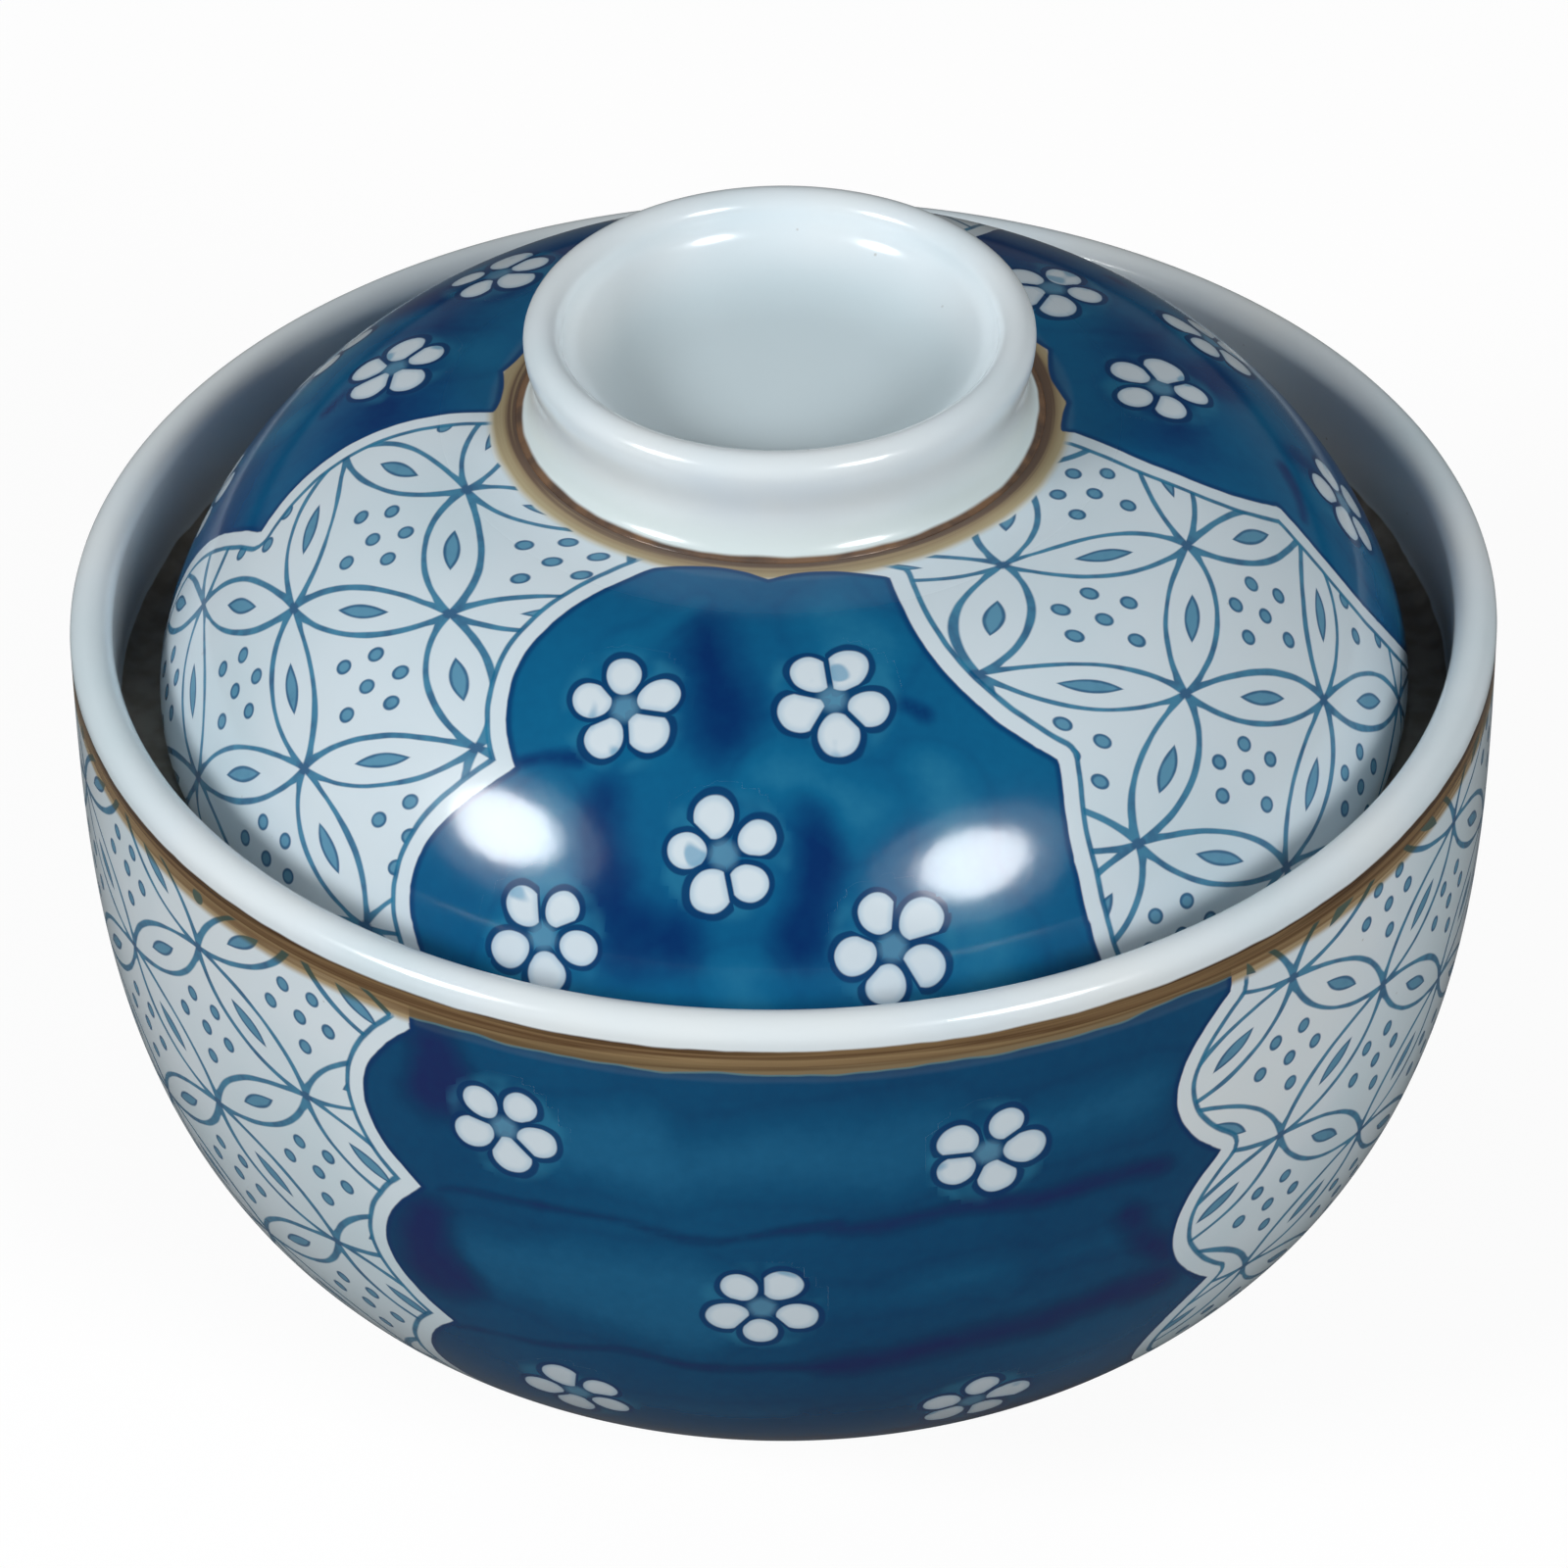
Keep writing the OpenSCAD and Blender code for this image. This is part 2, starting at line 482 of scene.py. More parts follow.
def stroke_depth(angles, lengths, radii, strokes):
    sway = SWAY * np.sin(lengths * 0.55 + angles * 0.09)
    angles = angles + np.degrees(sway / radii)
    lengths = lengths + 0.4 * np.sin(angles * 0.16 + 1.0) + 0.25 * np.sin(angles * 0.47)
    deepest = np.full(len(angles), UNWASHED)
    for start_angle, start_length, end_angle, end_length, width, strength in strokes:
        start_x = np.radians(turned_by(start_angle, angles)) * radii
        run_x = np.radians(end_angle - start_angle) * radii
        start_y = start_length - lengths
        run_y = end_length - start_length
        share = -(start_x * run_x + start_y * run_y) / np.maximum(run_x**2 + run_y**2, 1e-9)
        share = np.clip(share, 0, 1)
        gap = np.hypot(start_x + share * run_x, start_y + share * run_y)
        deepest = np.maximum(deepest, strength * (1 - WEAKER_START * (1 - share)) - gap / width)
    return deepest


def repeated(rows, turns, angle_columns=(0,)):
    copies = []
    for turn in turns:
        for row in rows:
            copies.append(tuple(v + turn if i in angle_columns else v for i, v in enumerate(row)))
    return copies


half_way = cloud_edge(np.array([10.0]), [(3, -120), (17, -120)], [5])
print("a cloud edge half way down its first lobe:", half_way)

# %% [markdown]
# The lid's layout comes first. Every cloud edge is a row of lobes that bulge the same way round the lid,
# with a sharp cusp between them, and low round lobes end the blue under the grip. A blossom is given by
# its angle, its length down the dome and how far it is turned. The net of circles starts from one
# crossing in each white panel. The two panels at the back get two wide dark strokes each, which make
# their blue darker all over.


# %% Layout of the lid
ENDS = (0, 2)
lid_turns = (0, 113, 241)


def lid_edge(top, cusp, end, upper_bulge, lower_bulge, cusp_length=19.7):
    return [(2.0, top), (cusp_length, cusp), (37.5, end)], [upper_bulge, lower_bulge]


lid_layout = {
    "last": 40.0,
    "panels": [
        (lid_edge(-115, -119.5, -119.5, 7.5, 7.2), lid_edge(-70, -60, -60, 4.4, 2)),
        (lid_edge(-9, -7.8, 0.5, 4.6, 5.5, 17.4), lid_edge(63, 65, 64, 5, 4)),
        (lid_edge(114, 118, 118, 5, 4), lid_edge(179.5, 186.5, 182, 3, 8)),
    ],
    "blossoms": [
        *((-109.5, 13.9, 35), (-84, 12.3, 88), (-96.2, 22.9, 40), (-112.6, 30, 4), (-80.5, 29.4, 28)),
        *((8, 8.4, 20), (39, 6.5, 60), (26.5, 17, 85), (4.5, 24.7, 40), (42, 24.5, 10)),
        *((163.2, 10, 30), (135, 10, 70), (150, 20.5, 45), (136, 28, 15), (166, 28.5, 80)),
    ],
    "tops": repeated([(-103, 0.7), (-84, 1.0)], lid_turns) + [(-5, 1.0), (173, 1.0)],
    "net": (10.45, 7.25),
    "nets": [(-158, 4.8), (-25.5, 12.4), (87, 8.0)],
    "net_middles": [-146.5, -34, 87],
    "dark": repeated(
        [
            (-100.5, 7, -98, 13.5, 3.8, 0.95),
            (-108.5, 20, -107.5, 27, 3.2, 0.85),
            (-107.5, 27, -103.8, 29.3, 3.7, 1.0),
            (-103.8, 29.3, -100, 28.6, 3.0, 0.95),
            (-87, 20, -88, 28.2, 2.8, 1.0),
            (-120, 19.7, -113, 18.2, 1.1, 0.8),
            (-75, 13.8, -72.5, 14.4, 1.3, 0.8),
        ],
        lid_turns,
        ENDS,
    )
    + repeated([(-4, 9, 60, 9, 9, 0.65), (0, 25, 62, 25, 9, 0.65)], (0, 122), ENDS),
    "pale": repeated(
        [
            (-105, 5, -112, 10, 4.4, 0.4),
            (-82, 5, -80, 9, 4.6, 1.0),
            (-91, 17, -83, 20, 3.6, 1.0),
            (-74, 19, -72, 33, 4.0, 1.0),
            (-94, 31, -93, 37, 4.2, 1.0),
            (-114, 22, -114, 35, 3.6, 1.0),
        ],
        lid_turns,
        ENDS,
    ),
}
print("blossoms on the lid:", len(lid_layout["blossoms"]))

# %% [markdown]
# The cup repeats one blue panel three times. Its clouds have more lobes, because its wall is longer, and
# the brush went round the wall in level strokes, darker where two strokes overlap. The painting stops a
# little above the foot, at a thin blue line.

# %% Layout of the cup
cup_lobes = [3.5, 17.5, 31.5, 45.5, 59.5]
panel_turns = (0, 120, 240)
cup_bulges = [4.8, 4.6, 4.6, 4.6]
painting_end = 54.0


def cup_edge(upper, lower):
    angles = [upper, upper, lower, lower, lower]
    return list(zip(cup_lobes, angles)), cup_bulges


cup_layout = {
    "last": painting_end + 2,
    "panels": [(cup_edge(-120 + t, -119.5 + t), cup_edge(-54 + t, -52.5 + t)) for t in panel_turns],
    "blossoms": repeated(
        [(-112.3, 9.7, 82), (-74.8, 10.7, 4), (-92.4, 23.5, 90), (-109.4, 37.3, 30), (-73.8, 38.6, 55)],
        panel_turns,
    ),
    "tops": [],
    "net": (10.45, 7.0),
    "nets": [(-143, 6.8), (-47.5, 5.3), (95, 6.0)],
    "net_middles": [-147, -27, 93],
    "dark": repeated(
        [
            (-118.4, 5, -117.8, 8, 3.2, 1.2),
            (-119, 17.4, -110, 16.0, 1.2, 0.5),
            (-110, 16.0, -95, 16.6, 1.3, 0.45),
            (-95, 16.6, -86, 15.4, 1.3, 0.6),
            (-86, 15.8, -60, 16.0, 2.0, 0.7),
            (-120, 20.5, -119.4, 25.5, 3.2, 1.2),
            (-119, 32.4, -104, 29.8, 1.2, 0.5),
            (-104, 29.8, -87, 30.4, 1.4, 0.6),
            (-87, 30.4, -59, 28, 3.0, 0.85),
            (-112, 44.5, -60, 43.5, 1.8, 0.6),
            (-63, 20, -58, 25, 2.6, 0.8),
        ],
        panel_turns,
        ENDS,
    ),
    "pale": repeated(
        [
            (-112, 10, -101, 9.6, 5.2, 1.0),
            (-96, 9.2, -81, 9.2, 5.6, 1.0),
            (-76, 9.6, -62, 9.4, 5.2, 0.8),
            (-114, 23, -99, 23.6, 5.0, 1.3),
            (-88, 23, -73, 22.6, 5.4, 0.5),
            (-69, 22.2, -60, 22, 5.0, 0.4),
            (-110, 37, -91, 37, 5.0, 0.4),
            (-86, 37, -62, 36.6, 5.0, 0.3),
        ],
        panel_turns,
        ENDS,
    ),
}
print("blossoms on the cup:", len(cup_layout["blossoms"]))

# %% [markdown]
# These numbers are written on to the mesh as attributes. A cloud's edge is sampled every tenth of a
# millimetre into a k-d tree, which finds the nearest edge point for each mesh point quickly. A blossom
# and the net give local coordinates in the surface, like a stamp laid on the wall.


# %% Attributes, and the way to the nearest edge
EDGE_STEP = 0.1


def mark(piece, name, values):
    kind, key = ("FLOAT", "value") if values.ndim == 1 else ("FLOAT_VECTOR", "vector")
    attribute = piece.data.attributes.new(name, kind, "POINT")
    attribute.data.foreach_set(key, values.astype(np.float32).ravel())


def points_of(piece):
    count = len(piece.data.vertices)
    points = np.zeros(count * 3, np.float32)
    piece.data.vertices.foreach_get("co", points)
    along = np.zeros(count, np.float32)
    piece.data.attributes["along"].data.foreach_get("value", along)
    return points.reshape(-1, 3).astype(float) / MM, along.astype(float)


def nearest_edge(points, layout, section, along):
    lengths = np.arange(0, layout["last"], EDGE_STEP)
    radii, heights = on_wall(section, along, lengths)
    samples = []
    for panel in layout["panels"]:
        for edge in panel:
            angles = np.radians(cloud_edge(lengths, *edge))
            samples.append(np.column_stack((radii * np.cos(angles), radii * np.sin(angles), heights)))
    samples = np.concatenate(samples)
    tree = KDTree(len(samples))
    for i, sample in enumerate(samples):
        tree.insert(sample, i)
    tree.balance()
    return np.array([tree.find(point)[2] for point in points])


print("cloud edges are sampled every", EDGE_STEP, "mm")


# %% Clouds, blossoms and net at each painted point
FAR = 1000.0
BLOSSOM_REACH = 5.0
LOBE_SPREAD = 10.5


def inside_a_cloud(angles, lengths, panels):
    inside = np.zeros(len(angles), bool)
    for left, right in panels:
        left_angles = cloud_edge(lengths, *left)
        width = (cloud_edge(lengths, *right) - left_angles) % 360
        inside |= (angles - left_angles) % 360 < width
    return inside


def below_the_tops(depth, angles, lengths, tops):
    lobes = []
    for middle, top in tops:
        lobes.append(lengths - top - (turned_by(angles, middle) / LOBE_SPREAD) ** 2)
    return np.minimum(depth, np.max(lobes, axis=0)) if lobes else depth


def from_blossoms(angles, lengths, radii, blossoms):
    local = np.full((len(angles), 3), FAR)
    closest = np.full(len(angles), BLOSSOM_REACH)
    for number, (angle, length, turn) in enumerate(blossoms):
        across = np.radians(turned_by(angles, angle)) * radii
        down = lengths - length
        away = np.hypot(across, down)
        near = away < closest
        closest[near] = away[near]
        bearing = np.arctan2(down, across)[near] - math.radians(turn)
        local[near, 0] = away[near] * np.cos(bearing)
        local[near, 1] = away[near] * np.sin(bearing)
        local[near, 2] = number
    return local


def in_the_net(angles, lengths, radii, layout):
    middles = np.array(layout["net_middles"])
    nearest = np.argmin(np.abs(turned_by(angles[:, None], middles[None, :])), axis=1)
    starts = np.array(layout["nets"])[nearest]
    half_x, half_s = layout["net"]
    across = np.radians(turned_by(angles, starts[:, 0])) * radii / half_x
    return across, (lengths - starts[:, 1]) / half_s


one_spot = from_blossoms(np.array([-90.0]), np.array([12.0]), np.array([30.0]), [(-90, 10, 0)])
print("two millimetres below the middle of a blossom:", one_spot[0].round(3))


# %% Writing the layout on a piece
OUTSIDE = -30.0
UNDER_THE_EDGE = -0.5
IN_A_MESH = 0.25


def lay_out(piece, section, section_along, layout):
    points, along = points_of(piece)
    painted = (along > UNDER_THE_EDGE) & (along < layout["last"])
    spots = points[painted]
    lengths = along[painted]
    radii = np.hypot(spots[:, 0], spots[:, 1])
    angles = np.degrees(np.arctan2(spots[:, 1], spots[:, 0]))

    inside = inside_a_cloud(angles, lengths, layout["panels"])
    depth = np.where(inside, 1, -1) * nearest_edge(spots, layout, section, section_along)
    cloud = np.full(len(points), OUTSIDE)
    cloud[painted] = below_the_tops(depth, angles, lengths, layout["tops"])
    mark(piece, "cloud", cloud)

    bloom = np.full((len(points), 3), FAR)
    bloom[painted] = from_blossoms(angles, lengths, radii, layout["blossoms"])
    mark(piece, "bloom", bloom)

    net = np.full((len(points), 3), IN_A_MESH)
    net[painted, 0], net[painted, 1] = in_the_net(angles, lengths, radii, layout)
    mark(piece, "net", net)

    wash = np.full((len(points), 3), UNWASHED)
    wash[painted, 0] = stroke_depth(angles, lengths, radii, layout["dark"])
    wash[painted, 1] = stroke_depth(angles, lengths, radii, layout["pale"])
    mark(piece, "wash", wash)
    print(piece.name, "painted points:", int(painted.sum()), "in blue:", int(inside.sum()))


# %% [markdown]
# ## Porcelain under a clear glaze
# All pieces share one body: white porcelain with a faint blue-green cast where the glaze is thick, very
# glossy, with a few iron specks and the soft ripple of glaze that has flowed. One plain principled
# shader gives the glass-like gloss. What changes over the surface, the colour, the gloss and the ripple,
# comes from noise in object coordinates, so that it stays on the piece when the lid is lifted.


# %% Colours and noise
def colour(red, green, blue):
    channels = []
    for value in (red, green, blue):
        share = value / 255
        channels.append(share / 12.92 if share <= 0.04045 else ((share + 0.055) / 1.055) ** 2.4)
    return (*channels, 1.0)


def over(under, paint, cover):
    return cover.node("ShaderNodeMix", {"data_type": "RGBA"}, {0: cover, 6: under, 7: paint}, 2)


def mottle(place, size, detail):
    values = {"Vector": place, "Scale": 1 / (size * MM), "Detail": detail}
    return place.node("ShaderNodeTexNoise", None, values)


GLAZE_WHITE = colour(219, 230, 236)
GLAZE_POOLED = colour(201, 220, 227)
GLAZE_THIN = colour(226, 233, 235)
GLAZE_DISH = colour(203, 221, 228)
print("white glaze:", [round(v, 3) for v in GLAZE_WHITE[:3]])

# %% The glaze itself
SPECK_SPACING = 5.0
SPECK = colour(132, 122, 106)
RIPPLE_HEIGHT = 0.0002


def blank_paper(owner):
    owner.use_nodes = True
    owner.node_tree.nodes.clear()
    return Brush(owner.node_tree)


def new_glaze(name):
    material = bpy.data.materials.new(name)
    paper = blank_paper(material)
    place = paper.node("ShaderNodeTexCoord", out="Object")
    return material, paper, place


def written_on(paper, name, out="Fac"):
    return paper.node("ShaderNodeAttribute", {"attribute_name": name}, out=out)


def bare_glaze(place):
    cloudy = mottle(place, 26, 3)
    shade = place.node(
        "ShaderNodeValToRGB",
        {"stops": [(0.3, GLAZE_THIN), (0.5, GLAZE_WHITE), (0.72, GLAZE_POOLED)]},
        {"Fac": cloudy},
    )
    cells = {"Vector": place, "Scale": 1 / (SPECK_SPACING * MM)}
    from_speck = place.node("ShaderNodeTexVoronoi", None, cells, "Distance") * SPECK_SPACING
    return over(shade, SPECK, 0.4 * (1 - from_speck.rise(0.06, 0.15)))


def fire(paper, place, base, roughness):
    ripple = mottle(place, 5.5, 1.5) + 0.25 * mottle(place, 1.1, 1.0)
    bump = paper.node(
        "ShaderNodeBump", None, {"Strength": 0.1, "Distance": RIPPLE_HEIGHT, "Height": ripple}, "Normal"
    )
    shader = paper.node(
        "ShaderNodeBsdfPrincipled",
        None,
        {"Base Color": base, "Roughness": roughness, "IOR": 1.5, "Normal": bump},
    )
    paper.node("ShaderNodeOutputMaterial", None, {"Surface": shader}, None)


print("an iron speck about every", SPECK_SPACING, "mm")

# %% [markdown]
# ## The blossoms
# Each plum blossom is left white in the blue ground: five egg-shaped petals round a pale centre, edged
# by a dark line where the blue gathered, with a paler, uneven ring of thin wash round the whole. Only one
# petal has to be drawn. The angle round the blossom is folded five times, which lays the same petal in
# five places. A narrow seam along each fold keeps the petals apart, and chance turns, moves and sizes
# each one a little.


# %% One petal, folded five times
PETALS = 5
PETAL_LENGTH = 2.95
PETAL_HALF_WIDTH = 1.34
PETAL_FROM_CENTRE = 2.45
SEAM = 0.14
HALO = (3.7, 4.9)
LAST_BLOSSOM = (30, 60)


def blossom(paper, place, ground, shake):
    across, down, number = written_on(paper, "bloom", "Vector").split()
    away = reach(across, down) + FAR / 2 * number.rise(*LAST_BLOSSOM)
    fifth = 2 * math.pi / PETALS
    turns = down.math("ARCTAN2", across) / fifth + 0.5
    which = paper.node("ShaderNodeCombineXYZ", None, {0: number.math("ROUND"), 1: turns.math("FLOOR")})
    chance = paper.node("ShaderNodeTexWhiteNoise", None, {"Vector": which}, "Color")
    chance_turn, chance_out, chance_size = (part - 0.5 for part in chance.split())
    folded = (turns.math("FRACT") - 0.5 + 0.2 * chance_turn) * fifth
    outward = away * folded.math("COSINE") - PETAL_FROM_CENTRE - 0.3 * chance_out
    sideways = away * folded.math("SINE")
    grown = 1 + 0.22 * chance_size
    half_width = PETAL_HALF_WIDTH + 0.08 * outward
    egg = reach(outward / (PETAL_LENGTH / 2 * grown), sideways / (half_width * grown))
    seam = (0.5 - abs(turns.math("FRACT") - 0.5)) * fifth * away
    depth = ((1 - egg) * 1.4 + 0.8 * shake).least(seam - SEAM)
    petal = depth.rise(0.0, 0.13)
    uneven = mottle(place, 2.4, 1.0)
    line = (depth + 0.4 * uneven).rise(-0.25, -0.1)
    heart = 1 - away.rise(0.5, 1.3)
    brushed = mottle(place, 3.0, 1.0).rise(0.66, 0.74)
    white = over(colour(178, 200, 215), colour(206, 219, 227), depth.rise(0.05, 0.6))
    halo = (1 - away.rise(*HALO)) * uneven.rise(0.35, 0.65)
    drawn = over(ground, colour(48, 130, 162), halo * 0.4)
    drawn = over(drawn, colour(4, 50, 98), line * 0.85)
    drawn = over(drawn, colour(100, 152, 180), heart * (1 - petal) * 0.6)
    drawn = over(drawn, white, petal)
    return over(drawn, colour(98, 154, 186), petal * brushed * 0.75)


print("five petals, each about", PETAL_LENGTH, "mm long")

# %% [markdown]
# ## The net of circles
# The white panels carry a net in which neighbouring circles overlap, so that between two crossings there
# is a leaf with a small oval in it, and in the middle of each mesh lie six dots. The net leans: its
# crossings sit on a lattice of rhombs. In lattice coordinates every mesh is the same square, so folding
# the coordinates draws the whole net from one corner of one mesh.

# %% The net from one folded mesh
LEAF_BOW = 0.16
BOW_R = (0.25 + LEAF_BOW**2) / (2 * LEAF_BOW)
BOW_CENTRE = 0.5 + BOW_R - LEAF_BOW
OVAL_HALF_LENGTH = 2.1
OVAL_HALF_WIDTH = 0.64
OVAL_SCALE = 0.62
DOT_R = (0.53, 0.66)
PAIRED_DOTS = [(1.35, -2.1), (2.65, 0.0)]
SINGLE_DOTS = [(0.1, 0.0), (0.4, 2.4)]


def almond(lengthways, sideways):
    return lengthways * lengthways / OVAL_HALF_LENGTH**2 + sideways / OVAL_HALF_WIDTH


def net_of_circles(paper, place, half_x, half_s, shake):
    x, y, _ = written_on(paper, "net", "Vector").split()
    edge_mm = math.hypot(half_x, half_s)
    step = ((x + y) * 0.5 + 0.02 * shake).math("FRACT") - 0.5
    cross = ((x - y) * 0.5 - 0.02 * shake).math("FRACT") - 0.5
    a = abs(step)
    b = abs(cross)
    leaf = (reach(BOW_CENTRE - a, b) - BOW_R).least(reach(a, BOW_CENTRE - b) - BOW_R) * edge_mm * 0.96
    from_crossing = reach(0.5 - a, 0.5 - b) * edge_mm
    wide = 0.2 * (1 - from_crossing.rise(0.7, 2.2))
    press = 0.3 * (mottle(place, 6, 2.0) - 0.5)
    lines = (leaf + press).rise(-0.29, -0.15) * (1 - (leaf - wide - press).rise(0.15, 0.29))
    crossing = 1 - from_crossing.rise(0.3, 0.62)
    oval = almond(b * edge_mm, (0.5 - a) * edge_mm).least(almond(a * edge_mm, (0.5 - b) * edge_mm))
    across = (step + cross) * half_x
    down = (step - cross) * half_s
    fold = abs(across)
    spot = oval * OVAL_SCALE
    for aside, below in PAIRED_DOTS:
        spot = spot.least(reach(fold - aside, down - below))
    for aside, below in SINGLE_DOTS:
        spot = spot.least(reach(across - aside, down - below))
    filled = 1 - spot.rise(*DOT_R)
    rim = spot.rise(0.28, 0.5)
    uneven = mottle(place, 1.3, 2.0)
    inked = (rim * 0.8 + uneven - 0.45).rise(0.0, 0.9)
    fill = over(colour(78, 138, 168), colour(26, 88, 128), inked)
    gathered = (uneven + 0.45 * crossing - 0.1).rise(0.2, 0.75)
    line_colour = over(colour(46, 122, 156), colour(14, 82, 124), gathered)
    ink = lines.most(crossing)
    return ink, line_colour, filled, fill


print("leaf bow", LEAF_BOW, "drawn with arcs of", round(BOW_R, 3), "mesh sides")

# %% [markdown]
# ## The painted glaze
# The iron brown band was laid on while the form spun on the wheel. The painter then drew the net and the
# outlines, and filled the clouds with a wash of cobalt. A wash is never even: it is pale where the brush
# lifted and dark where it pooled. The layers go on in the same order here, from the white body outwards:
# a thin film of blue that was left round the net, band, net, outlines, and the wash with its blossoms.
# Last comes a ring of bare clay where lid and cup touch, because the glaze is wiped off there. This
# clay is painted much darker than the clay of the foot ring: painted shade for the deep gap between
# lid and cup. The glaze is drier round the grip, where the iron is thick.


# %% Wash and band
def cloud_wash(paper, place, stops):
    dark, pale, _ = written_on(paper, "wash", "Vector").split()
    ragged = mottle(place, 4.2, 3.0) - 0.5
    drift = mottle(place, 19, 3.0) - 0.5
    grain = mottle(place, 0.9, 3.0) - 0.5
    pooled = (dark + 0.5 * ragged).rise(-0.2, 0.8)
    lifted = (pale + 0.5 * ragged).rise(-0.05, 0.8)
    dried = 1 - abs(pale + 0.35 * ragged).rise(0.0, 0.14)
    depth = 0.46 + 0.4 * drift + 0.14 * grain + 0.46 * pooled - 0.22 * lifted + 0.04 * dried
    return paper.node("ShaderNodeValToRGB", {"stops": stops}, {"Fac": depth})


def spun_band(paper, place, share, stops):
    x, y, _ = place.split()
    laid = paper.node("ShaderNodeCombineXYZ", None, {0: share * 5.0, 1: x * 34, 2: y * 34})
    streak = paper.node("ShaderNodeTexNoise", None, {"Vector": laid, "Scale": 1.0, "Detail": 2.0})
    turned = 0.6 * (mottle(place, 38, 1.0) - 0.5)
    blend = share + 0.7 * (streak - 0.5) + turned
    return paper.node("ShaderNodeValToRGB", {"stops": stops}, {"Fac": blend})


print("wash and band are ready to lay")


# %% Layers of a painted glaze
def painted_glaze(name, plan):
    material, paper, place = new_glaze(name)
    along = written_on(paper, "along")
    cloud = written_on(paper, "cloud")
    shake = mottle(place, 5, 2.0) - 0.5
    edge = cloud + 0.5 * shake

    top = along - plan["net_top"] + 1.2 * shake
    zone = top.rise(-0.1, 0.1) * (1 - along.rise(plan["end"] - 0.2, plan["end"]))
    white = bare_glaze(place)
    ink, line_colour, filled, fill = net_of_circles(paper, place, *plan["net"], shake)
    netted = (-plan["gap"] - edge).rise(-0.05, 0.05) * zone
    ground = over(white, colour(190, 208, 219), plan["film"] * zone)
    share = (along - plan["band"][0]) / (plan["band"][1] - plan["band"][0])
    wavy = share + 0.15 * shake
    band = wavy.rise(-0.03, 0.05) * (1 - wavy.rise(plan["band_soft"], 1.08))
    brown = spun_band(paper, place, share, plan["band_stops"])
    brown = over(brown, colour(88, 72, 48), 0.6 * edge.rise(-0.05, 0.08) * share.rise(0.35, 0.65))
    base = over(ground, brown, band * plan["band_cover"])
    base = over(base, over(line_colour, colour(56, 78, 72), band), ink * netted * 0.94)
    base = over(base, over(fill, colour(70, 90, 82), band), filled * netted * 0.95)

    painting = 1 - along.rise(plan["end"], plan["end"] + 0.3)
    line_zone = (along - plan["net_top"] + 0.4).rise(-0.1, 0.1) * painting
    outer = 1 - abs(edge + plan["gap"]).rise(0.12, 0.28)
    base = over(base, line_colour, outer * line_zone * (1 - band) * 0.95)

    ragged = mottle(place, 7, 2.0) - 0.5
    blue_top = (along - plan["blue_top"] + 1.4 * ragged).rise(-0.15, 0.15)
    blue_zone = blue_top * painting
    wash = blossom(paper, place, cloud_wash(paper, place, plan["wash"]), shake)
    inner = edge.rise(-0.1, 0.04) * (1 - edge.rise(0.18, 0.55))
    base = over(base, wash, edge.rise(-0.05, 0.08) * blue_zone * (1 - 0.08 * band))
    brink = 4 * blue_top * (1 - blue_top) * edge.rise(-0.05, 0.08) * painting
    base = over(base, colour(84, 140, 150), brink * 0.5)
    base = over(base, plan["outline"], inner * blue_zone * 0.85)
    end_line = 1 - abs(along - plan["end"] + 0.3 * shake).rise(0.2, 0.36)
    base = over(base, plan["outline"], end_line * plan["end_line"])

    gloss = 0.1 + 0.05 * mottle(place, 11, 3.0) + plan["dry"] * (1 - along.rise(2.5, 7.0))
    matte_start, matte_end = plan["matte"]
    wiped = along + 0.8 * shake
    matte = wiped.rise(matte_start, matte_start + 0.2) * (1 - wiped.rise(matte_end, matte_end + 0.2))
    # The bare clay here is painted darker than the same clay on the foot: painted shade in the gap.
    clay = over(colour(158, 151, 141), colour(136, 128, 116), mottle(place, 2.2, 2.0).rise(0.35, 0.7))
    base = over(base, clay, matte)
    fire(paper, place, base, gloss + 0.55 * matte)
    return material


print("layers: film, band, net, outlines, wash and blossoms, bare clay")

# %% [markdown]
# The lid and the cup share these layers, but not their sizes and colours. Lengths are in millimetres
# down the wall. The stops of a band run from its upper to its lower edge, and those of a wash from
# thin to pooled cobalt.

# %% Glaze of the lid
lid_glaze = painted_glaze(
    "lid_painting",
    {
        "net": lid_layout["net"],
        "film": 0.5,
        "net_top": 1.7,
        "gap": 1.35,
        "blue_top": -2.0,
        "end": 39.0,
        "end_line": 0.0,
        "dry": 0.4,
        "matte": (38.6, 41.4),
        "wash": [
            (0.05, colour(40, 122, 158)),
            (0.36, colour(10, 96, 138)),
            (0.62, colour(4, 74, 120)),
            (0.95, colour(0, 44, 98)),
        ],
        "outline": colour(4, 58, 108),
        "band": (-0.4, 1.9),
        "band_soft": 0.72,
        "band_cover": 0.95,
        "band_stops": [
            (0.05, colour(72, 46, 25)),
            (0.33, colour(90, 62, 36)),
            (0.44, colour(142, 121, 84)),
            (0.95, colour(176, 162, 125)),
        ],
    },
)
print("nodes in the lid's glaze:", len(lid_glaze.node_tree.nodes))

# %% Glaze of the cup
cup_glaze = painted_glaze(
    "cup_painting",
    {
        "net": cup_layout["net"],
        "film": 0.12,
        "net_top": 1.7,
        "gap": 1.35,
        "blue_top": 2.35,
        "end": painting_end,
        "end_line": 0.9,
        "dry": 0.0,
        "matte": (-15.8, -11.2),
        "wash": [
            (0.05, colour(28, 102, 142)),
            (0.36, colour(4, 76, 116)),
            (0.62, colour(2, 58, 98)),
            (0.95, colour(20, 38, 90)),
        ],
        "outline": colour(4, 50, 98),
        "band": (0.4, 3.05),
        "band_soft": 0.82,
        "band_cover": 1.0,
        "band_stops": [
            (0.04, colour(74, 52, 31)),
            (0.16, colour(124, 100, 69)),
            (0.3, colour(92, 68, 44)),
            (0.44, colour(142, 119, 85)),
            (0.58, colour(118, 94, 66)),
            (0.76, colour(168, 149, 115)),
        ],
    },
)
